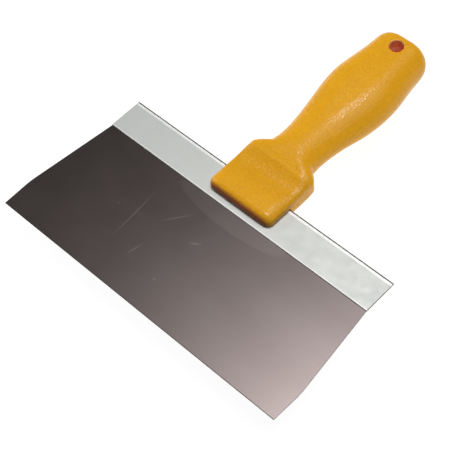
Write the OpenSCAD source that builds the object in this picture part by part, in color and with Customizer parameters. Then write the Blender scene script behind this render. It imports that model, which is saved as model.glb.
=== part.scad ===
// Flexible putty knife: a wide spring-steel blade held in a folded steel channel,
// with a one-piece moulded handle screwed on from the back.
// Z is up and is the front face's normal, Y runs from the working edge to the butt, X is the
// blade's width. The knife lies on its back. Its origin is the middle of its box, at the bottom.

/* [Blade] */
// Widest part of the blade
blade_w = 203.2; // [150:0.1:260]
// Width of the blade at its working edge
edge_w = 202.2; // [149:0.1:260]
// Thickness of the spring steel
blade_t = 0.5; // [0.3:0.05:0.8]
// Length of the near-straight stretch of each side, from the working edge
side_l = 19.3; // [10:0.1:35]
// Length of blade that stands out of the channel
blade_out = 77; // [60:0.5:100]

/* [Backing channel] */
// Length of the channel, across the blade
channel_w = 190; // [140:0.5:250]
// Depth of the channel, from its lips to its fold
channel_d = 22; // [16:0.5:28]
// Thickness of the channel's sheet
sheet_t = 0.6; // [0.4:0.05:1]

/* [Handle] */
// Width of the shoe that grips the channel
shoe_w = 45.6; // [40:0.2:60]
// Length of the shoe, up to its shoulders
shoe_l = 35; // [30:0.5:45]
// Width of the neck
neck_w = 30.4; // [24:0.2:36]
// Width of the palm swell
palm_w = 44; // [36:0.2:50]
// Width of the butt
butt_w = 35.2; // [30:0.2:44]
// Length of the whole knife, from the working edge to the butt
knife_l = 224.7; // [215:0.1:240]
// Radius of the hang hole
hang_r = 4.25; // [3:0.05:6]
// Distance of the hang hole's centre from the butt
hang_inset = 9.8; // [9:0.1:14]

/* [Screws] */
// Number of screws that fix the handle
screw_count = 3; // [2:1:3]
// Distance from one screw to the next
screw_pitch = 14; // [11:0.5:16]
// Radius of a screw's shank
shank_r = 1.75; // [1.2:0.05:2]
// Radius of a screw's head
head_r = 3.4; // [2.6:0.1:4]

/* [Flex] */
// Distance from the channel's lips to the line about which the blade bends
flex_inset = 11.5; // [8:0.5:20]

/* [Hidden] */

// Heights are measured from the blade's mid-plane, and distances from the working edge.
lip_y = blade_out;                          // the channel's lips
fold_y = blade_out + channel_d;             // the channel's fold, outside
channel_h = blade_t + 2 * sheet_t;          // thickness of the folded channel
fold_gap = 0.5;                             // between the blade's top edge and the fold
heel_w = channel_w - 2;                     // width of the blade inside the channel
heel_top = fold_y - sheet_t - fold_gap;     // the blade's top edge
flex_y = lip_y - flex_inset;                // the bending line
flex_gap = 0.05;                            // running gap between the blade's nose and its heel
bevel = 0.3;                                // length of the bevels at the working edge
edge_t = 0.2;                               // thickness left at the working edge
corner_blend = 4;                           // how far the blend at each side's bend reaches

shoe_y = lip_y + 4;                         // the shoe's front face
shoulder_y = shoe_y + shoe_l;
neck_y = shoulder_y + 17;
belly = 11.2;                               // depth of the handle under the blade, at its lowest
edge_r = 4.5;                               // rounding of the shoe's front
butt_r = 7.8;                               // rounding of the butt, seen from the front
butt_edge_r = 5;                            // rounding of the butt, seen from the side
scoop_y = shoulder_y - 24.5;                // where the thumb scoop starts; it ends at a crest
scoop_l = 23;
scoop_depth = 1.2;
hang_y = knife_l - hang_inset;

screw_y = shoe_y + 9;
screw_end = 5.2;                            // height of the screws' tips
head_low = -6.5;                            // height of the heads' undersides in their wells
head_h = 2.2;
well_r = head_r + 0.4;
hole_r = shank_r + 0.25;                    // clearance holes
slot_gap = 0.02;
mouth_l = 1.2;                              // the slot's wider mouth, at the shoe's front
mouth_gap = 0.8;

corner_points = 8;                          // points along each corner of a cross-section
fine = 48;

// A place on the grip, from 0 at the neck to 1 at the butt.
function grip_y(share) = neck_y + share * (knife_l - neck_y);

// The handle's lines, each a list of [distance from the working edge, value].
width_line = [                              // half its width
    [shoe_y, shoe_w / 2], [shoulder_y + 1.3, shoe_w / 2], [shoulder_y + 4.8, shoe_w * 0.445],
    [shoulder_y + 9.5, neck_w * 0.51], [neck_y, neck_w / 2], [grip_y(0.556), palm_w / 2],
    [knife_l - 14, butt_w * 0.528], [knife_l, butt_w / 2]
];
top_line = [                                // height of its front face
    [shoe_y, 7.5], [shoulder_y - 12, 7.6], [shoulder_y - 2, 8.8], [shoulder_y + 4, 10.2],
    [neck_y - 3, 11.5], [grip_y(0.164), 11.7], [grip_y(0.6), 15.2], [knife_l - 14, 16.1],
    [knife_l, 16.5]
];
bottom_line = [                             // height of its back
    [shoe_y, -6.8], [shoulder_y + 2, -7], [neck_y + 1, -8.8], [grip_y(0.185), -9.3],
    [grip_y(0.36), -belly], [grip_y(0.556), -10.1], [knife_l - 12, -9.2], [knife_l, -5.6]
];
// How far a cross-section's elliptical corners reach, as shares of half its width and height.
corner_w_line = [
    [shoe_y, 0.3], [shoulder_y - 5, 0.3], [neck_y, 0.98], [grip_y(0.185), 0.95],
    [grip_y(0.556), 0.72], [knife_l, 0.7]
];
corner_h_line = [[shoe_y, 0.5], [shoulder_y - 5, 0.5], [neck_y, 0.95], [knife_l, 0.95]];

// A smooth curve through a line's points that never overshoots them.
function slope(line, i) = (line[i + 1][1] - line[i][1]) / (line[i + 1][0] - line[i][0]);
function tangent(line, i) =
    i == 0 || i == len(line) - 1 ? 0
    : let (before = slope(line, i - 1), after = slope(line, i))
      before * after <= 0 ? 0 : 2 * before * after / (before + after);
function span(line, y, i = 0) =
    i == len(line) - 2 || y < line[i + 1][0] ? i : span(line, y, i + 1);
function curve(line, y) =
    let (i = span(line, y), h = line[i + 1][0] - line[i][0], t = (y - line[i][0]) / h)
    line[i][1] * (2 * pow(t, 3) - 3 * pow(t, 2) + 1)
    + tangent(line, i) * h * (pow(t, 3) - 2 * pow(t, 2) + t)
    + line[i + 1][1] * (3 * pow(t, 2) - 2 * pow(t, 3))
    + tangent(line, i + 1) * h * (pow(t, 3) - pow(t, 2));

// How far an end rounded to radius r has drawn in, at distance d from that end.
function drawn_in(d, r) = d >= r ? 0 : r - sqrt(r * r - pow(r - d, 2));
// The thumb scoop's depth: it deepens slowly from the front and ends at a clear crest.
function scoop(y) =
    let (t = min(max((y - scoop_y) / scoop_l, 0), 1))
    scoop_depth * sin(180 * pow(t, 1.5));

// One cross-section of the handle: a box with elliptical corners, which grow from the shoe's
// tight edges into the grip's near oval.
function handle_ring(y) =
    let (
        front = drawn_in(y - shoe_y, edge_r),
        butt = drawn_in(knife_l - y, butt_edge_r),
        half_w = curve(width_line, y) - front - drawn_in(knife_l - y, butt_r),
        top = curve(top_line, y) - front - butt,
        bottom = curve(bottom_line, y) + front + butt,
        half_h = (top - bottom) / 2,
        mid = (top + bottom) / 2,
        rx = curve(corner_w_line, y) * half_w,
        rz = curve(corner_h_line, y) * half_h
    )
    [for (corner = [0 : 3], k = [0 : corner_points - 1])
        let (
            turn = 90 * (corner + k / (corner_points - 1)),
            side_x = corner == 0 || corner == 3 ? 1 : -1,
            side_z = corner < 2 ? 1 : -1
        )
        [
            side_x * (half_w - rx) + rx * cos(turn),
            y,
            mid + side_z * (half_h - rz) + rz * sin(turn) - scoop(y) * pow(max(0, sin(turn)), 3)
        ]];

// Where the cross-sections lie: close together on the rounded ends and the shoulders.
ring_places = concat(
    [for (a = [0 : 15 : 75]) shoe_y + edge_r * (1 - cos(a))],
    [for (y = [shoe_y + edge_r + 3 : 3 : shoulder_y - 3]) y],
    [for (y = [shoulder_y - 1.5 : 1.5 : neck_y]) y],
    [for (y = [neck_y + 3 : 5 : knife_l - butt_r - 3]) y],
    [for (a = [90 : -12 : 6]) knife_l - butt_r * (1 - cos(a))],
    [knife_l]
);

// Joins cross-sections with equal numbers of points into one closed solid.
module loft(rings) {
    n = len(rings[0]);
    last = len(rings) - 1;
    sides = [
        for (i = [0 : last - 1], k = [0 : n - 1])
            let (a = i * n + k, b = i * n + (k + 1) % n)
            each [[a, b, b + n], [a, b + n, a + n]]
    ];
    caps = [
        [for (k = [n - 1 : -1 : 0]) k],
        [for (k = [0 : n - 1]) last * n + k]
    ];
    polyhedron([for (ring = rings) each ring], concat(sides, caps), convexity = 4);
}

// Puts a piece that is drawn from the working edge and the blade's mid-plane into the part's frame.
module place() {
    translate([0, -knife_l / 2, belly])
        children();
}

module at_each_screw() {
    for (i = [0 : screw_count - 1])
        translate([(i - (screw_count - 1) / 2) * screw_pitch, screw_y, 0])
            children();
}

// A slot through the full width of the shoe, from its front to end_y, gap wider than the channel.
module slot_cutter(end_y, gap) {
    translate([-shoe_w, 0, -channel_h / 2 - gap])
        cube([2 * shoe_w, end_y, channel_h + 2 * gap]);
}

module handle() {
    color("goldenrod")
        place()
            difference() {
                loft([for (y = ring_places) handle_ring(y)]);
                slot_cutter(fold_y + slot_gap, slot_gap);
                slot_cutter(shoe_y + mouth_l, mouth_gap);
                translate([0, hang_y, -belly - 1])
                    cylinder(h = 3 * belly, r = hang_r, $fn = fine);
                at_each_screw() {
                    translate([0, 0, -belly])
                        cylinder(h = belly, r = hole_r, $fn = fine);
                    translate([0, 0, -belly])
                        cylinder(h = belly + head_low + head_h, r = well_r, $fn = fine);
                    cylinder(h = screw_end, r = shank_r, $fn = fine);
                }
            }
}

module channel_profile() {
    outside = channel_h / 2;
    inside = blade_t / 2;
    centre = fold_y - outside;
    polygon(concat(
        [[lip_y, -inside], [lip_y, -outside]],
        [for (a = [-90 : 15 : 90]) [centre + outside * cos(a), outside * sin(a)]],
        [[lip_y, outside], [lip_y, inside]],
        [for (a = [90 : -30 : -90]) [centre + inside * cos(a), inside * sin(a)]]
    ));
}

// Extrudes a profile, drawn in Y and Z, to both sides of the middle along X.
module across(w) {
    translate([-w / 2, 0, 0])
        rotate([90, 0, 90])
            linear_extrude(w)
                children();
}

module backing_channel() {
    color("gainsboro")
        place()
            difference() {
                across(channel_w)
                    channel_profile();
                at_each_screw()
                    cylinder(h = 2 * channel_h, r = hole_r, center = true, $fn = fine);
            }
}

// The right-hand side of the blade, with its bend rounded by a short curve.
bend = [blade_w / 2, side_l];
function toward(a, b, d) = a + (b - a) * d / norm(b - a);
function bend_point(t) =
    let (
        p = toward(bend, [edge_w / 2, 0], corner_blend),
        q = toward(bend, [channel_w / 2, lip_y], corner_blend)
    )
    pow(1 - t, 2) * p + 2 * t * (1 - t) * bend + pow(t, 2) * q;
right_side = concat(
    [[edge_w / 2, 0]],
    [for (t = [0 : 0.25 : 1]) bend_point(t)],
    [[channel_w / 2, lip_y], [heel_w / 2, lip_y + 1], [heel_w / 2, heel_top]]
);

// The blade seen from the front.
module blade_outline() {
    left_side = [for (i = [len(right_side) - 1 : -1 : 0]) [-right_side[i][0], right_side[i][1]]];
    polygon(concat(right_side, left_side));
}

// Cuts the blade's outline from a sheet whose side view is the child.
module blade_sheet() {
    intersection() {
        translate([0, 0, -blade_t])
            linear_extrude(2 * blade_t)
                blade_outline();
        across(blade_w + 2)
            children();
    }
}

module blade_heel() {
    start = flex_y + blade_t / 2 + flex_gap;
    color("slategray")
        place()
            difference() {
                blade_sheet()
                    translate([start, -blade_t / 2])
                        square([heel_top - start, blade_t]);
                at_each_screw()
                    cylinder(h = 4 * blade_t, r = hole_r, center = true, $fn = fine);
            }
}

// The free part of the blade. Its upper edge is a round nose on the bending line.
module blade() {
    half = blade_t / 2;
    color("slategray")
        place()
            blade_sheet() {
                polygon([
                    [bevel, half], [0, edge_t / 2], [0, -edge_t / 2], [bevel, -half],
                    [flex_y, -half], [flex_y, half]
                ]);
                translate([flex_y, 0])
                    circle(r = half, $fn = fine);
            }
}

module fixing_screws() {
    slot = 0.9;
    color("silver")
        place()
            at_each_screw() {
                translate([0, 0, head_low])
                    difference() {
                        cylinder(h = head_h, r = head_r, $fn = fine);
                        for (turn = [0, 90])
                            rotate(turn)
                                cube([head_r * 1.1, slot, 2.4], center = true);
                    }
                translate([0, 0, head_low + head_h])
                    cylinder(h = screw_end - head_low - head_h, r = shank_r, $fn = fine);
            }
}

handle();
backing_channel();
fixing_screws();
blade_heel();
blade();
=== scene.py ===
"""Looks of the flexible putty knife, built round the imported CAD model."""

import math

import bmesh
import bpy
import numpy as np
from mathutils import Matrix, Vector


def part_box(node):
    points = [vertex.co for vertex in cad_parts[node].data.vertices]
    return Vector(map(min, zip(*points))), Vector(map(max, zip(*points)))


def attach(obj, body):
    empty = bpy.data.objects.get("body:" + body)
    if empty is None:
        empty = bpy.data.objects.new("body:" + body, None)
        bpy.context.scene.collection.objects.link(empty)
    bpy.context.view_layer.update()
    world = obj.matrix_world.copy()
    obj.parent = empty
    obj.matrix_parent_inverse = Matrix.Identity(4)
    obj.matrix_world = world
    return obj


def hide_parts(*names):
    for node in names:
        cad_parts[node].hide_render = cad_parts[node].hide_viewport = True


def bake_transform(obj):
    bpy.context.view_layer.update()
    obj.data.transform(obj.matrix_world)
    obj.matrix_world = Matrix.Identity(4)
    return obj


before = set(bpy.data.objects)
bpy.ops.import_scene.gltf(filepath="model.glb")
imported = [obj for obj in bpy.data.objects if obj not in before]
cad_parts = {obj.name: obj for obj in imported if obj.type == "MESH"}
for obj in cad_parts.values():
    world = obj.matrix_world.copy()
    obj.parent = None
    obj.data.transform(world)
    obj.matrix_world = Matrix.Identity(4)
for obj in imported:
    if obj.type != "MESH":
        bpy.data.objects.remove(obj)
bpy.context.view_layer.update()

MM = 0.001

# The knife is drawn in millimetres from the middle of its working edge, in the blade's mid-plane:
# x across the blade, y towards the butt, z out of its front face. ORIGIN is that point.
blade_low, blade_high = (Vector(corner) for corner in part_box("blade"))
handle_low, handle_high = (Vector(corner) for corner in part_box("handle"))
channel_low, channel_high = (Vector(corner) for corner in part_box("backing_channel"))
ORIGIN = Vector((0, blade_low.y, (blade_low.z + blade_high.z) / 2))

BLADE_T = (blade_high.z - blade_low.z) / MM
CHANNEL_H = (channel_high.z - channel_low.z) / MM
SHEET_T = (CHANNEL_H - BLADE_T) / 2
CHANNEL_W = (channel_high.x - channel_low.x) / MM
LIP_Y = (channel_low.y - ORIGIN.y) / MM
FOLD_Y = (channel_high.y - ORIGIN.y) / MM
SHOE_Y = (handle_low.y - ORIGIN.y) / MM
KNIFE_L = (handle_high.y - ORIGIN.y) / MM
BELLY = (ORIGIN.z - handle_low.z) / MM
SHOE_W = (handle_high.x - handle_low.x) / MM
EASE = 0.12  # how far the sheets' edges are eased


def place(points):
    """Points in the knife's millimetres, as a list of tuples in the frame's metres."""
    return [tuple(row) for row in np.asarray(points, float) * MM + np.array(ORIGIN)]


def curve(line, y):
    """The smooth curve of part.scad through a line's points, at the distances y."""
    at, value = np.array(line, float).T
    step = np.diff(at)
    slope = np.diff(value) / step
    tangent = np.zeros(len(at))
    for i in range(1, len(at) - 1):
        before, after = slope[i - 1], slope[i]
        if before * after > 0:
            tangent[i] = 2 * before * after / (before + after)
    i = np.clip(np.searchsorted(at, y, side="right") - 1, 0, len(step) - 1)
    t = (y - at[i]) / step[i]
    return (
        value[i] * (2 * t**3 - 3 * t**2 + 1)
        + tangent[i] * step[i] * (t**3 - 2 * t**2 + t)
        + value[i + 1] * (3 * t**2 - 2 * t**3)
        + tangent[i + 1] * step[i] * (t**3 - t**2)
    )


# ---------------------------------------------------------------- mesh helpers

SLIVER = 0.002  # edges shorter than this, in millimetres, are closed up after a cut


def new_object(name, points, faces, material=None):
    """A smooth-shaded mesh object from points in the knife's millimetres."""
    mesh = bpy.data.meshes.new(name)
    mesh.from_pydata(place(points), [], faces)
    mesh.validate()
    mesh.shade_smooth()
    piece = bpy.data.objects.new(name, mesh)
    bpy.context.scene.collection.objects.link(piece)
    if material:
        mesh.materials.append(material)
    return piece


def loft_faces(ring_count, ring_size):
    """Quads between rings of points, with a flat cap at each end."""
    faces = []
    for i in range(ring_count - 1):
        for k in range(ring_size):
            a, b = i * ring_size + k, i * ring_size + (k + 1) % ring_size
            faces.append((a, a + ring_size, b + ring_size, b))
    faces.append(tuple(range(ring_size)))
    last = (ring_count - 1) * ring_size
    faces.append(tuple(range(last + ring_size - 1, last - 1, -1)))
    return faces


def stack(name, rings, material=None):
    """A solid through rings of points that run anticlockwise, lowest ring first."""
    faces = [tuple(reversed(face)) for face in loft_faces(len(rings), len(rings[0]))]
    return new_object(name, np.concatenate(rings), faces, material)


def lathe(name, profile, centre, material=None, steps=64):
    """A turned solid on a line parallel to z through centre. profile lists (radius, height)."""
    turn = 2 * np.pi * np.arange(steps) / steps
    rings = []
    for radius, height in profile:
        rings.append(np.column_stack([
            centre[0] + radius * np.cos(turn),
            centre[1] + radius * np.sin(turn),
            np.full(steps, float(height)),
        ]))
    return stack(name, rings, material)


def prism(name, outline, low, high):
    """A solid with an anticlockwise outline of (x, y) points, between two heights."""
    return stack(name, [[(x, y, z) for x, y in outline] for z in (low, high)])


def block(name, low, high):
    """A box between two corners."""
    outline = [(low[0], low[1]), (high[0], low[1]), (high[0], high[1]), (low[0], high[1])]
    return prism(name, outline, low[2], high[2])


def cross(name, centre, reach, half_w, low, high):
    """A plus-shaped prism. Its arms end at reach from its centre, and are 2 * half_w wide."""
    outline = []
    for turn in range(4):
        for x, y in ((reach, -half_w), (reach, half_w), (half_w, half_w)):
            for _ in range(turn):
                x, y = -y, x
            outline.append((centre[0] + x, centre[1] + y))
    return prism(name, outline, low, high)


def bake_modifiers(piece):
    """Turns a piece's modifiers into its mesh."""
    bpy.context.view_layer.update()
    evaluated = piece.evaluated_get(bpy.context.evaluated_depsgraph_get())
    mesh = bpy.data.meshes.new_from_object(evaluated)
    piece.modifiers.clear()
    old = piece.data
    piece.data = mesh
    bpy.data.meshes.remove(old)


def clean(piece):
    """Deletes a mesh's loose points and closes up its slivers."""
    mesh = bmesh.new()
    mesh.from_mesh(piece.data)
    loose = [point for point in mesh.verts if not point.link_faces]
    bmesh.ops.delete(mesh, geom=loose, context="VERTS")
    bmesh.ops.dissolve_degenerate(mesh, dist=SLIVER * MM, edges=mesh.edges[:])
    mesh.to_mesh(piece.data)
    mesh.free()


def cut(piece, cutters):
    """Takes the cutters away from a piece, and deletes them."""
    for cutter in cutters:
        tool = piece.modifiers.new("cut", "BOOLEAN")
        tool.operation = "DIFFERENCE"
        tool.solver = "EXACT"
        tool.object = cutter
    bake_modifiers(piece)
    clean(piece)
    for cutter in cutters:
        bpy.data.objects.remove(cutter)


def soften(piece, voxel, passes):
    """Remeshes a piece evenly and relaxes it, so that its cut edges turn round like moulded ones."""
    remesh = piece.modifiers.new("remesh", "REMESH")
    remesh.mode = "VOXEL"
    remesh.voxel_size = voxel * MM
    relax = piece.modifiers.new("relax", "SMOOTH")
    relax.factor = 0.5
    relax.iterations = passes
    bake_modifiers(piece)
    piece.data.shade_smooth()


# ---------------------------------------------------------------- material helpers

RANGE_SOCKETS = ("From Min", "From Max", "To Min", "To Max")
NOISE_LOW, NOISE_HIGH = 0.3, 0.7  # a noise texture seldom leaves this range


def socket_name(word):
    """A socket's name from its lower-case word, such as Base Color from base_color."""
    return word.replace("_", " ").title().replace("Ior", "IOR")


class Shader:
    """A Principled material with short calls for its nodes."""

    def __init__(self, name, **sockets):
        self.material = bpy.data.materials.new(name)
        self.material.use_nodes = True
        self.tree = self.material.node_tree
        self.surface = self.tree.nodes["Principled BSDF"]
        for socket, value in sockets.items():
            self.surface.inputs[socket_name(socket)].default_value = value
        self.position = self.node("ShaderNodeTexCoord").outputs["Object"]

    def node(self, kind, **settings):
        made = self.tree.nodes.new(kind)
        for key, value in settings.items():
            setattr(made, key, value)
        return made

    def link(self, output, socket):
        self.tree.links.new(output, socket)

    def stretched(self, scale):
        """The position, scaled along each axis."""
        mapping = self.node("ShaderNodeMapping")
        mapping.inputs["Scale"].default_value = scale
        self.link(self.position, mapping.inputs["Vector"])
        return mapping.outputs["Vector"]

    def from_edge(self):
        """The distance from the working edge, in millimetres."""
        split = self.node("ShaderNodeSeparateXYZ")
        self.link(self.position, split.inputs["Vector"])
        return self.span(split.outputs["Y"], ORIGIN.y, ORIGIN.y + MM, 0, 1, clamp=False)

    def spot(self, centre, turn, half_size):
        """A soft oval mark, 1 at its centre, turned by turn degrees from the x axis."""
        mapping = self.node("ShaderNodeMapping", vector_type="TEXTURE")
        mapping.inputs["Location"].default_value = place([centre])[0]
        mapping.inputs["Rotation"].default_value = (0, 0, math.radians(turn))
        mapping.inputs["Scale"].default_value = [length * MM for length in half_size]
        self.link(self.position, mapping.inputs["Vector"])
        fade = self.node("ShaderNodeTexGradient", gradient_type="SPHERICAL")
        self.link(mapping.outputs["Vector"], fade.inputs["Vector"])
        return fade.outputs["Fac"]

    def noise(self, scale, detail=2.0, roughness=0.5, where=None, distortion=0.0):
        made = self.node("ShaderNodeTexNoise")
        made.inputs["Scale"].default_value = scale
        made.inputs["Detail"].default_value = detail
        made.inputs["Roughness"].default_value = roughness
        made.inputs["Distortion"].default_value = distortion
        self.link(where or self.position, made.inputs["Vector"])
        return made.outputs["Fac"]

    def cells(self, scale, smoothness=0.0):
        """The distance to the nearest of many scattered points, rounded by smoothness."""
        made = self.node("ShaderNodeTexVoronoi", feature="SMOOTH_F1" if smoothness else "F1")
        made.inputs["Scale"].default_value = scale
        if smoothness:
            made.inputs["Smoothness"].default_value = smoothness
        self.link(self.position, made.inputs["Vector"])
        return made.outputs["Distance"]

    def tint(self, noise, low, high):
        """A colour that wanders between low and high with a noise."""
        made = self.node("ShaderNodeValToRGB")
        stops = ((NOISE_LOW, low), (NOISE_HIGH, high))
        for element, (stop, colour) in zip(made.color_ramp.elements, stops):
            element.position = stop
            element.color = (*colour, 1)
        self.link(noise, made.inputs["Fac"])
        return made.outputs["Color"]

    def vary(self, noise, low, high):
        """A number that wanders between low and high with a noise."""
        return self.span(noise, NOISE_LOW, NOISE_HIGH, low, high)

    def span(self, value, low, high, to_low, to_high, clamp=True):
        """value, moved from the range low to high onto the range to_low to to_high."""
        made = self.node("ShaderNodeMapRange", clamp=clamp)
        for socket, number in zip(RANGE_SOCKETS, (low, high, to_low, to_high)):
            made.inputs[socket].default_value = number
        self.link(value, made.inputs["Value"])
        return made.outputs["Result"]

    def maths(self, operation, a, b):
        made = self.node("ShaderNodeMath", operation=operation)
        for socket, value in zip(made.inputs, (a, b)):
            if isinstance(value, (int, float)):
                socket.default_value = value
            else:
                self.link(value, socket)
        return made.outputs["Value"]

    def times(self, a, b):
        return self.maths("MULTIPLY", a, b)

    def mix(self, factor, base, colour):
        """The base, tinted towards a fixed colour by factor."""
        made = self.node("ShaderNodeMix", data_type="RGBA")
        factor_in, base_in, colour_in = [socket for socket in made.inputs if socket.enabled]
        self.link(factor, factor_in)
        self.link(base, base_in)
        colour_in.default_value = (*colour, 1)
        return next(socket for socket in made.outputs if socket.enabled)

    def bump(self, height, strength, distance):
        made = self.node("ShaderNodeBump")
        made.inputs["Strength"].default_value = strength
        made.inputs["Distance"].default_value = distance * MM
        self.link(height, made.inputs["Height"])
        return made.outputs["Normal"]

    def set(self, **outputs):
        """Links outputs to the surface's sockets."""
        for socket, output in outputs.items():
            self.link(output, self.surface.inputs[socket_name(socket)])


# ---------------------------------------------------------------- materials

PLASTIC_DEEP, PLASTIC_PALE = (0.87, 0.415, 0.014), (0.92, 0.443, 0.018)
PLASTIC_PAINTED_SHADE = (0.55, 0.23, 0.005)  # painted shade between the pebbles and down in the thumb scoop
# Painted light: a reddish glow on the hang hole's wall.
PLASTIC_HOLE_GLOW = (0.95, 0.38, 0.2)
# Painted shade: dark red-brown on the shoe's front face.
PLASTIC_FRONT_SHADE = (0.33, 0.06, 0.045)
HOLE_REACH = (5.3, 5.3, 60)  # an oval that takes in the hang hole's wall, where the reddish glow is painted
PEBBLES = 700  # per metre
COARSE_GRAIN = 2.8  # the scoop's coarse grain, against the pebbles' height


def handle_plastic():
    """Yellow-orange moulded plastic with a pebbled grain, coarsest in the thumb scoop; painted shade
    between the pebbles, in the scoop and on the shoe's front, and a painted reddish glow in the hang
    hole.
    """
    shade = Shader("handle_plastic", specular_ior_level=0.2)
    plastic = shade.tint(shade.noise(60, 3), PLASTIC_DEEP, PLASTIC_PALE)
    pebbles = shade.cells(PEBBLES, smoothness=0.4)
    y = shade.from_edge()
    scoop_end = SCOOP_Y + SCOOP_L
    scoop = shade.times(
        shade.span(y, SCOOP_Y, SCOOP_Y + 8, 0.0, 1.0),
        shade.span(y, scoop_end - 1, scoop_end + 1, 1.0, 0.0),
    )
    coarse = shade.times(shade.noise(520), scoop)
    # Painted shade: the pebbles' valleys and the thumb scoop are darkened in the colour.
    grain_and_shade = shade.mix(shade.vary(pebbles, 0.0, 0.15), plastic, PLASTIC_PAINTED_SHADE)
    shaded = shade.mix(shade.times(scoop, 0.15), grain_and_shade, PLASTIC_PAINTED_SHADE)
    # Painted light: the hang hole's wall is tinted towards a reddish glow.
    in_hole = shade.span(shade.spot((0, HANG_Y, HANG_MID), 0, HOLE_REACH), 0.12, 0.19, 0.0, 1.0)
    # Painted shade darkens the shoe's front face.
    front_shade = shade.span(y, SHOE_Y + 0.4, SHOE_Y + 2, 0.85, 0.0)
    hole_glowing = shade.mix(in_hole, shaded, PLASTIC_HOLE_GLOW)
    height = shade.maths("ADD", pebbles, shade.times(coarse, COARSE_GRAIN))
    shade.set(
        base_color=shade.mix(front_shade, hole_glowing, PLASTIC_FRONT_SHADE),
        roughness=shade.vary(shade.noise(900), 0.23, 0.28),
        normal=shade.bump(height, 0.7, 0.17),
    )
    return shade.material


# Marks of use on the blade's front: centre, turn in degrees, half length and half width.
SCRATCHES = [
    ((-40.8, 42.5), 94.5, 23, 0.5),
    ((-20.9, 55), 53, 11, 0.5),
    ((-1.4, 49.3), 30, 4.5, 0.8),
    ((-24, 26), 80, 7, 0.6),
    ((-52.6, 41.4), 0, 0.9, 0.9),
    ((-2.3, 19), 0, 1.4, 0.9),
]
# A paler oval patch just below the channel's lip, in the same form as the scratches.
PALE_PATCH = ((2, 75), 0, 40, 9)
MARK_DEPTH = 0.3  # marks reach this far into the blade from its front face

BLUED_DEEP, BLUED_PALE = (0.149, 0.123, 0.119), (0.162, 0.136, 0.131)
BLUED_MARKS = (0.6, 0.55, 0.52)


def front_mark(shade, mark):
    """A scratch or the pale patch on the blade's front face, 1 at its middle."""
    (x, y), turn, half_l, half_w = mark
    return shade.spot((x, y, BLADE_T / 2), turn, (half_l, half_w, MARK_DEPTH))


def blade_marks(shade):
    """The blade's scratches, its pale patch and its specks of dust, from 0 to 1."""
    marks = 0.0
    for scratch in SCRATCHES:
        marks = shade.maths("MAXIMUM", front_mark(shade, scratch), marks)
    pale_patch = shade.span(front_mark(shade, PALE_PATCH), 0.0, 0.1, 0.0, 0.28)
    dots = shade.span(shade.cells(130), 0.03, 0.05, 0.5, 0.0)
    dusty_areas = shade.span(shade.noise(30), 0.52, 0.6, 0.0, 1.0)
    specks = shade.times(dots, dusty_areas)
    return shade.maths("MAXIMUM", marks, shade.maths("MAXIMUM", pale_patch, specks))


def blade_steel():
    """Thin blued spring steel, polished, with faint scratches, a paler patch below the channel's lip
    and specks of dust.
    """
    shade = Shader("blade_steel", metallic=1.0)
    patches = shade.noise(25, 4, where=shade.stretched((0.6, 1.6, 1)))
    marks = blade_marks(shade)
    smudges = shade.vary(shade.noise(40, 5, 0.6, distortion=0.6), 0.28, 0.3)
    blued = shade.tint(patches, BLUED_DEEP, BLUED_PALE)
    rolling_lines = shade.noise(300, 4, 0.6, where=shade.stretched((1, 30, 1)))
    shade.set(
        base_color=shade.mix(shade.times(marks, 0.13), blued, BLUED_MARKS),
        roughness=shade.maths("ADD", smudges, shade.times(marks, 0.05)),
        normal=shade.bump(rolling_lines, 0.008, 0.02),
    )
    return shade.material


ZINC_DEEP, ZINC_PALE = (0.575, 0.587, 0.568), (0.592, 0.604, 0.585)
# Painted highlight for the lips and fold, and a painted dark reflection for the bend.
ZINC_PAINTED_HIGHLIGHT = (0.86, 0.86, 0.84)
ZINC_PAINTED_DARK = (0.11, 0.11, 0.105)


def channel_steel():
    """Pale galvanised sheet, with painted highlights along its lips and fold and a painted dark
    reflection along the bend.
    """
    shade = Shader("channel_steel", metallic=1.0)
    zinc = shade.tint(shade.noise(80, 4, 0.55), ZINC_DEEP, ZINC_PALE)
    y = shade.from_edge()
    # Painted highlights: paler near the lip and in a band before the fold.
    lip = shade.span(y, LIP_Y + 0.4, LIP_Y + 1.0, 0.8, 0.0)
    fold = shade.span(y, FOLD_Y - 2.8, FOLD_Y - 2.2, 0.0, 0.9)
    # Painted dark reflection: a dark line along the fold's bend.
    bend = shade.span(y, FOLD_Y - 1.15, FOLD_Y - 0.9, 0.0, 1.0)
    highlighted = shade.mix(shade.maths("MAXIMUM", lip, fold), zinc, ZINC_PAINTED_HIGHLIGHT)
    shade.set(
        base_color=shade.mix(bend, highlighted, ZINC_PAINTED_DARK),
        roughness=shade.vary(shade.noise(200, 4), 0.56, 0.62),
        normal=shade.bump(shade.noise(500, 4), 0.05, 0.04),
    )
    return shade.material


PLATING_DEEP, PLATING_PALE = (0.5, 0.51, 0.53), (0.62, 0.62, 0.62)


def screw_steel():
    """Bright zinc plating."""
    shade = Shader("screw_steel", metallic=1.0)
    tone = shade.noise(700, 3)
    shade.set(
        base_color=shade.tint(tone, PLATING_DEEP, PLATING_PALE),
        roughness=shade.vary(tone, 0.28, 0.42),
    )
    return shade.material


# ---------------------------------------------------------------- handle

SHOULDER_Y = SHOE_Y + 35
NECK_Y = SHOULDER_Y + 17
NECK_W, PALM_W, BUTT_W = 30.4, 44, 35.2


def grip_y(share):
    """A place on the grip, from 0 at the neck to 1 at the butt."""
    return NECK_Y + share * (KNIFE_L - NECK_Y)


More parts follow.
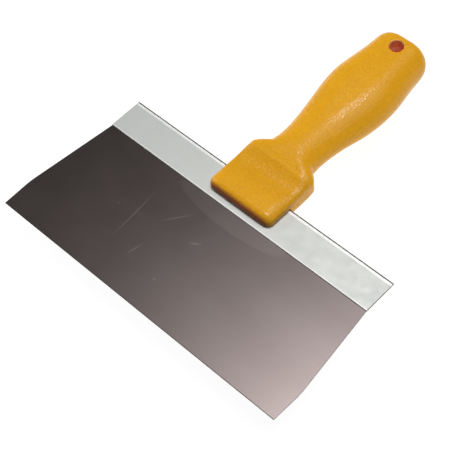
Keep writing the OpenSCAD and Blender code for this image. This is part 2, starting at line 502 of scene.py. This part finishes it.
WIDTH_LINE = [
    (SHOE_Y, SHOE_W / 2), (SHOULDER_Y + 1.3, SHOE_W / 2), (SHOULDER_Y + 4.8, SHOE_W * 0.445),
    (SHOULDER_Y + 9.5, NECK_W * 0.51), (NECK_Y, NECK_W / 2), (grip_y(0.556), PALM_W / 2),
    (KNIFE_L - 14, BUTT_W * 0.528), (KNIFE_L, BUTT_W / 2),
]
TOP_LINE = [
    (SHOE_Y, 7.5), (SHOULDER_Y - 12, 7.6), (SHOULDER_Y - 2, 8.8), (SHOULDER_Y + 4, 10.2),
    (NECK_Y - 3, 11.5), (grip_y(0.164), 11.7), (grip_y(0.6), 15.2), (KNIFE_L - 14, 16.1),
    (KNIFE_L, 16.5),
]
BOTTOM_LINE = [
    (SHOE_Y, -6.8), (SHOULDER_Y + 2, -7), (NECK_Y + 1, -8.8), (grip_y(0.185), -9.3),
    (grip_y(0.36), -BELLY), (grip_y(0.556), -10.1), (KNIFE_L - 12, -9.2), (KNIFE_L, -5.6),
]
# How far the section's elliptical corners reach, as shares of half its width and height.
CORNER_W_LINE = [
    (SHOE_Y, 0.3), (SHOULDER_Y - 5, 0.3), (NECK_Y, 0.98), (grip_y(0.185), 0.95),
    (grip_y(0.556), 0.72), (KNIFE_L, 0.7),
]
CORNER_H_LINE = [(SHOE_Y, 0.5), (SHOULDER_Y - 5, 0.5), (NECK_Y, 0.95), (KNIFE_L, 0.95)]
CORNER_POINTS = 32
SHOE_EDGE_R, BUTT_R, BUTT_EDGE_R = 4.5, 7.8, 5
SCOOP_Y, SCOOP_L, SCOOP_DEPTH = SHOULDER_Y - 24.5, 23, 1.2
SLOT_GAP, SLOT_END_GAP = 0.03, 0.1  # clearance beside the channel in its slot, and behind it
MOUTH_L, MOUTH_GAP = 1.2, 0.8
CUT_PAST = 25  # cutters reach this far past the blade's plane

HANG_R, HANG_Y = 4.25, KNIFE_L - 9.8
HANG_MID = 9  # the height of the middle of the hang hole's ridge
RIDGE_R = HANG_R - 0.9  # a moulding ridge round the hang hole's wall
RIDGE_LOW, RIDGE_HIGH, RIDGE_SLOPE = 8.8, 9.6, 0.8

SCREW_Y, SCREW_PITCH = SHOE_Y + 9, 14
SCREW_PLACES = [(step * SCREW_PITCH, SCREW_Y) for step in (-1, 0, 1)]
SCREW_R, SCREW_END = 1.75, 5.2
HEAD_R, HEAD_LOW, HEAD_H = 3.4, -6.5, 2.2
HEAD_TOP = HEAD_LOW + HEAD_H
WELL_R, HOLE_R = HEAD_R + 0.4, SCREW_R + 0.25


def drawn_in(d, r):
    """How far an end rounded to radius r has drawn in, at distance d from that end."""
    return r - np.sqrt(r * r - (r - np.minimum(d, r)) ** 2)


def handle_surface(ys):
    """The handle's rings of points at the distances ys: part.scad's shape, with more points."""
    y = ys[:, None]
    corner = np.repeat([0, 1, 2, 3], CORNER_POINTS)
    turn = np.pi / 2 * (corner + np.tile(np.linspace(0, 1, CORNER_POINTS), 4))
    side_x = np.where((corner == 0) | (corner == 3), 1, -1)
    side_z = np.where(corner < 2, 1, -1)
    front = drawn_in(y - SHOE_Y, SHOE_EDGE_R)
    butt = drawn_in(KNIFE_L - y, BUTT_EDGE_R)
    half_w = curve(WIDTH_LINE, y) - front - drawn_in(KNIFE_L - y, BUTT_R)
    top = curve(TOP_LINE, y) - front - butt
    bottom = curve(BOTTOM_LINE, y) + front + butt
    half_h, mid = (top - bottom) / 2, (top + bottom) / 2
    rx, rz = curve(CORNER_W_LINE, y) * half_w, curve(CORNER_H_LINE, y) * half_h
    x = side_x * (half_w - rx) + rx * np.cos(turn)
    scoop = SCOOP_DEPTH * np.sin(np.pi * np.clip((y - SCOOP_Y) / SCOOP_L, 0, 1) ** 1.5)
    z = mid + side_z * (half_h - rz) + rz * np.sin(turn) - scoop * np.maximum(0, np.sin(turn)) ** 3
    return np.stack([x, y + 0 * x, z], axis=2)


def end_steps(radius, degrees):
    """Distances from a rounded end, closest together at the very end."""
    return radius * (1 - np.cos(np.radians(degrees)))


def handle_cutters():
    """The channel's slot with its wider mouth, the hang hole and the screws' wells."""
    slot, mouth = CHANNEL_H / 2 + SLOT_GAP, CHANNEL_H / 2 + MOUTH_GAP
    hang = [
        (HANG_R, -CUT_PAST), (HANG_R, RIDGE_LOW - RIDGE_SLOPE), (RIDGE_R, RIDGE_LOW),
        (RIDGE_R, RIDGE_HIGH), (HANG_R, RIDGE_HIGH + RIDGE_SLOPE), (HANG_R, CUT_PAST),
    ]
    well = [
        (WELL_R, -CUT_PAST), (WELL_R, HEAD_TOP), (HOLE_R, HEAD_TOP),
        (HOLE_R, 0), (SCREW_R, 0), (SCREW_R, SCREW_END),
    ]
    cutters = [
        block("slot_cutter", (-SHOE_W, 0, -slot), (SHOE_W, FOLD_Y + SLOT_END_GAP, slot)),
        block("mouth_cutter", (-SHOE_W, 0, -mouth), (SHOE_W, SHOE_Y + MOUTH_L, mouth)),
        lathe("hang_cutter", hang, (0, HANG_Y)),
    ]
    return cutters + [lathe("screw_cutter", well, spot, steps=48) for spot in SCREW_PLACES]


def make_handle():
    """One moulding: lofted, cut, and then softened so that its edges look moulded."""
    ys = np.concatenate([
        SHOE_Y + end_steps(SHOE_EDGE_R, np.arange(0, 90, 6)),
        np.arange(SHOE_Y + SHOE_EDGE_R, KNIFE_L - BUTT_R, 1.0),
        KNIFE_L - end_steps(BUTT_R, np.arange(90, -1, -5)),
    ])
    rings = handle_surface(ys)
    faces = loft_faces(len(ys), rings.shape[1])
    handle = new_object("handle_grip", rings.reshape(-1, 3), faces, handle_plastic())
    cut(handle, handle_cutters())
    soften(handle, voxel=0.45, passes=5)
    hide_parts("handle")
    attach(handle, "handle_assembly")


# ---------------------------------------------------------------- blade

EDGE_HALF_W, BEND_HALF_W, BEND_Y = 101.1, 101.59, 19.3
BEND_BLEND = 4  # the sides turn over this far each way from BEND_Y
HEEL_HALF_W, HEEL_TOP = CHANNEL_W / 2 - 1, FOLD_Y - SHEET_T - 0.5
BEVEL_L, BEVEL_T = 0.3, 0.15
BLADE_COLUMNS = 61


def blade_half_width(y):
    """Half the blade's width: near straight, a soft bend, then tapering to the channel."""
    flare = (BEND_HALF_W - EDGE_HALF_W) / BEND_Y
    narrowing = (BEND_HALF_W - CHANNEL_W / 2) / (LIP_Y - BEND_Y)
    width = BEND_HALF_W + np.where(y < BEND_Y, flare, -narrowing) * (y - BEND_Y)
    t = np.clip((y - BEND_Y + BEND_BLEND) / (2 * BEND_BLEND), 0, 1)
    width = width - (narrowing + flare) * BEND_BLEND * (1 - np.abs(2 * t - 1)) ** 2 / 4
    return np.where(y > LIP_Y + 1, HEEL_HALF_W, width)


def blade_layer(rows, height, inset):
    """One layer of the blade's points, row by row from the working edge."""
    x = np.linspace(-1, 1, BLADE_COLUMNS) * (blade_half_width(rows) - inset)[:, None]
    y = np.clip(rows, inset, HEEL_TOP - inset)[:, None] + 0 * x
    z = np.full_like(x, height)
    z[rows < BEVEL_L] *= 1 - BEVEL_T / (BLADE_T / 2)
    return np.stack([x, y, z], axis=2).reshape(-1, 3)


def rim_of(wide, count):
    """The outer points of a layer of count rows of wide points, in order round it."""
    last = (count - 1) * wide
    side = range(wide, last, wide)
    return (
        list(range(wide))
        + [start + wide - 1 for start in side]
        + list(range(last + wide - 1, last - 1, -1))
        + list(reversed(side))
    )


def blade_faces(wide, count):
    """The front and back of the sheet, and the three strips round its rim."""
    size = wide * count
    faces = []
    for r in range(count - 1):
        for k in range(wide - 1):
            a = r * wide + k
            faces.append((a, a + 1, a + 1 + wide, a + wide))
            a += 3 * size
            faces.append((a, a + wide, a + 1 + wide, a + 1))
    rim = rim_of(wide, count)
    for low in (0, size, 2 * size):
        high = low + size
        for a, b in zip(rim, rim[1:] + rim[:1]):
            faces.append((a + low, a + high, b + high, b + low))
    return faces


def hole_cutters():
    """The screws' clearance holes through the channel and the blade."""
    profile = [(HOLE_R, -CHANNEL_H), (HOLE_R, CHANNEL_H)]
    return [lathe("hole_cutter", profile, spot, steps=32) for spot in SCREW_PLACES]


def make_blade():
    """One continuous sheet, from the bevelled working edge to the top inside the channel."""
    # Close together where the sheet bends, and wider apart inside the channel.
    rows = np.concatenate([
        [0, BEVEL_L],
        np.arange(2, LIP_Y - 1, 1.5),
        [LIP_Y, LIP_Y + 1, LIP_Y + 1.5],
        np.arange(LIP_Y + 4, HEEL_TOP - 1, 3),
        [HEEL_TOP],
    ])
    half_t = BLADE_T / 2
    layers = [
        blade_layer(rows, half_t, EASE),
        blade_layer(rows, half_t - EASE, 0),
        blade_layer(rows, EASE - half_t, 0),
        blade_layer(rows, -half_t, EASE),
    ]
    faces = blade_faces(BLADE_COLUMNS, len(rows))
    blade = new_object("blade_sheet", np.concatenate(layers), faces, blade_steel())
    clean(blade)
    cut(blade, hole_cutters())
    blade.data.set_sharp_from_angle(angle=math.radians(35))
    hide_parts("blade", "blade_heel")
    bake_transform(blade)


# ---------------------------------------------------------------- channel

def leaf(radius, nose, lip):
    """One side of the folded sheet, as (y, z) from lip to lip round the fold."""
    centre = FOLD_Y - CHANNEL_H / 2
    angles = np.radians(np.arange(90, -91, -15))
    turn = [(centre + radius * math.cos(a), radius * math.sin(a)) for a in angles]
    stretch = [LIP_Y + 0.2, LIP_Y + 1, LIP_Y + 6, LIP_Y + 14, centre - 1]
    front = [(lip, nose)] + [(y, radius) for y in stretch]
    back = [(y, -radius) for y in reversed(stretch)] + [(lip, -nose)]
    return front + turn + back


def channel_loop(ease):
    """The sheet's outline, drawn in by ease: along its outside, and back along its inside."""
    outside, inside = CHANNEL_H / 2 - ease, BLADE_T / 2 + ease
    rounding = SHEET_T * 0.28
    lip = LIP_Y + ease
    return leaf(outside, outside - rounding, lip) + leaf(inside, inside + rounding, lip)[::-1]


def channel_faces(count, size):
    """Quads between count loops of size points, and across the sheet at both ends."""
    faces = []
    for i in range(count - 1):
        for k in range(size):
            a, b = i * size + k, i * size + (k + 1) % size
            faces.append((a, b, b + size, a + size))
    last = (count - 1) * size
    for k in range(size // 2 - 1):
        faces.append((k, size - 1 - k, size - 2 - k, k + 1))
        faces.append((last + k, last + k + 1, last + size - 2 - k, last + size - 1 - k))
    return faces


def make_channel():
    """The folded strip, with its ends and lips eased."""
    half = CHANNEL_W / 2
    middle = np.linspace(-half + 5, half - 5, 60)
    places = [-half, -half + EASE, -half + 2, *middle, half - 2, half - EASE, half]
    points = []
    for x in places:
        loop = channel_loop(EASE if abs(x) == half else 0)
        points += [(x, y, z) for y, z in loop]
    faces = channel_faces(len(places), len(loop))
    channel = new_object("channel_fold", points, faces, channel_steel())
    cut(channel, hole_cutters())
    channel.data.set_sharp_from_angle(angle=math.radians(40))
    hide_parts("backing_channel")
    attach(channel, "handle_assembly")


# ---------------------------------------------------------------- screws

CROWN_H, HEAD_CHAMFER = 0.9, 0.15
TIP_L, TIP_R = 1.2, 0.4
RECESS_REACH, RECESS_HALF_W, RECESS_DEPTH = HEAD_R * 0.62, 0.42, 1.3


def screw_profile():
    """Radius and height from the middle of the head's crown to the tip."""
    angles = np.radians(np.arange(5, 91, 10))
    crown = [(HEAD_R * math.sin(a), HEAD_LOW + CROWN_H * (1 - math.cos(a))) for a in angles]
    return crown + [
        (HEAD_R, HEAD_TOP - HEAD_CHAMFER),
        (HEAD_R - HEAD_CHAMFER, HEAD_TOP),
        (SCREW_R, HEAD_TOP),
        (SCREW_R, SCREW_END - TIP_L),
        (TIP_R, SCREW_END),
    ]


def recess_cutter(spot):
    """The shape of a cross-head driver's tip."""
    low, high = HEAD_LOW - 0.5, HEAD_LOW + RECESS_DEPTH
    return cross("recess_cutter", spot, RECESS_REACH, RECESS_HALF_W, low, high)


def make_screws():
    """Pan-head screws with cross recesses, facing the back."""
    material = screw_steel()
    for number, spot in enumerate(SCREW_PLACES, 1):
        screw = lathe(f"screw_{number}", screw_profile(), spot, material, steps=48)
        cut(screw, [recess_cutter(spot)])
        screw.data.set_sharp_from_angle(angle=math.radians(35))
        if number == 1:
            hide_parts("fixing_screws")
        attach(screw, "handle_assembly")


# ---------------------------------------------------------------- stage

FLOOR_GLOW = 0.94
FLOOR_DROP = 12  # how far the floor lies below the knife, which leaves room for the blade's bend
FLOOR_HALF = 4.0  # metres
FLOOR_DEEP, FLOOR_PALE = (0.19, 0.19, 0.19), (0.21, 0.21, 0.21)
WALL_GLOW, SKY_GLOW = 0.18, 0.03
WALL_TOP, SKY_LOW = 0.25, 0.55  # the walls fade into the sky between these heights of a unit sphere

# Name, direction it shines from, distance and size in metres, and watts.
LIGHTS = [
    ("overhead", (0.108, 0.18, 0.978), 1.19, (1.2, 0.84), 7.6),
    ("key", (-0.13, 0.2, 0.97), 1.6, (0.06, 0.06), 6),
    ("left_fill", (-0.88, -0.15, 0.45), 1.3, (0.7, 0.7), 4.2),
]
CAMERA_PLACE = (0.3406, -0.3250, 0.6383)
CAMERA_TURN = (34.796, 4.584, 43.688)  # degrees
CAMERA_LENS = 113.6


def make_floor():
    """A pale sheet, lit partly from within like a light table, so that shadows stay faint."""
    signs = ((-1, -1), (1, -1), (1, 1), (-1, 1))
    mesh = bpy.data.meshes.new("floor")
    mesh.from_pydata([(x * FLOOR_HALF, y * FLOOR_HALF, 0) for x, y in signs], [], [(0, 1, 2, 3)])
    floor = bpy.data.objects.new("floor", mesh)
    floor.location.z = -FLOOR_DROP * MM
    bpy.context.scene.collection.objects.link(floor)
    glow = {"emission_color": (1, 1, 1, 1), "emission_strength": FLOOR_GLOW}
    shade = Shader("floor_paper", roughness=0.9, **glow)
    shade.set(base_color=shade.tint(shade.noise(3), FLOOR_DEEP, FLOOR_PALE))
    mesh.materials.append(shade.material)


def make_light(name, toward, distance, size, watts):
    """A soft rectangular light, turned to face the frame's origin."""
    data = bpy.data.lights.new(name, "AREA")
    data.shape = "RECTANGLE"
    data.size, data.size_y = size
    data.energy = watts
    light = bpy.data.objects.new(name, data)
    light.location = Vector(toward).normalized() * distance
    light.rotation_euler = (-light.location).to_track_quat("-Z", "Y").to_euler()
    bpy.context.scene.collection.objects.link(light)


def make_camera():
    """A long lens that looks down on the knife from its front right."""
    data = bpy.data.cameras.new("camera")
    data.lens = CAMERA_LENS
    data.sensor_width = 36
    data.clip_start, data.clip_end = 0.05, 50
    camera = bpy.data.objects.new("camera", data)
    camera.location = CAMERA_PLACE
    camera.rotation_euler = [math.radians(turn) for turn in CAMERA_TURN]
    bpy.context.scene.collection.objects.link(camera)
    bpy.context.scene.camera = camera


def make_world():
    """A dark studio with pale walls: light low down, nearly none from above."""
    world = bpy.data.worlds.new("world")
    world.use_nodes = True
    nodes, links = world.node_tree.nodes, world.node_tree.links
    direction = nodes.new("ShaderNodeTexCoord").outputs["Generated"]
    split = nodes.new("ShaderNodeSeparateXYZ")
    links.new(direction, split.inputs["Vector"])
    fade = nodes.new("ShaderNodeMapRange")
    for socket, number in zip(RANGE_SOCKETS, (WALL_TOP, SKY_LOW, WALL_GLOW, SKY_GLOW)):
        fade.inputs[socket].default_value = number
    links.new(split.outputs["Z"], fade.inputs["Value"])
    background = nodes["Background"]
    background.inputs["Color"].default_value = (1, 1, 1, 1)
    links.new(fade.outputs["Result"], background.inputs["Strength"])
    bpy.context.scene.world = world


bpy.context.scene.view_settings.view_transform = "Standard"
make_camera()
make_world()
make_floor()
for light in LIGHTS:
    make_light(*light)
make_handle()
make_channel()
make_screws()
make_blade()
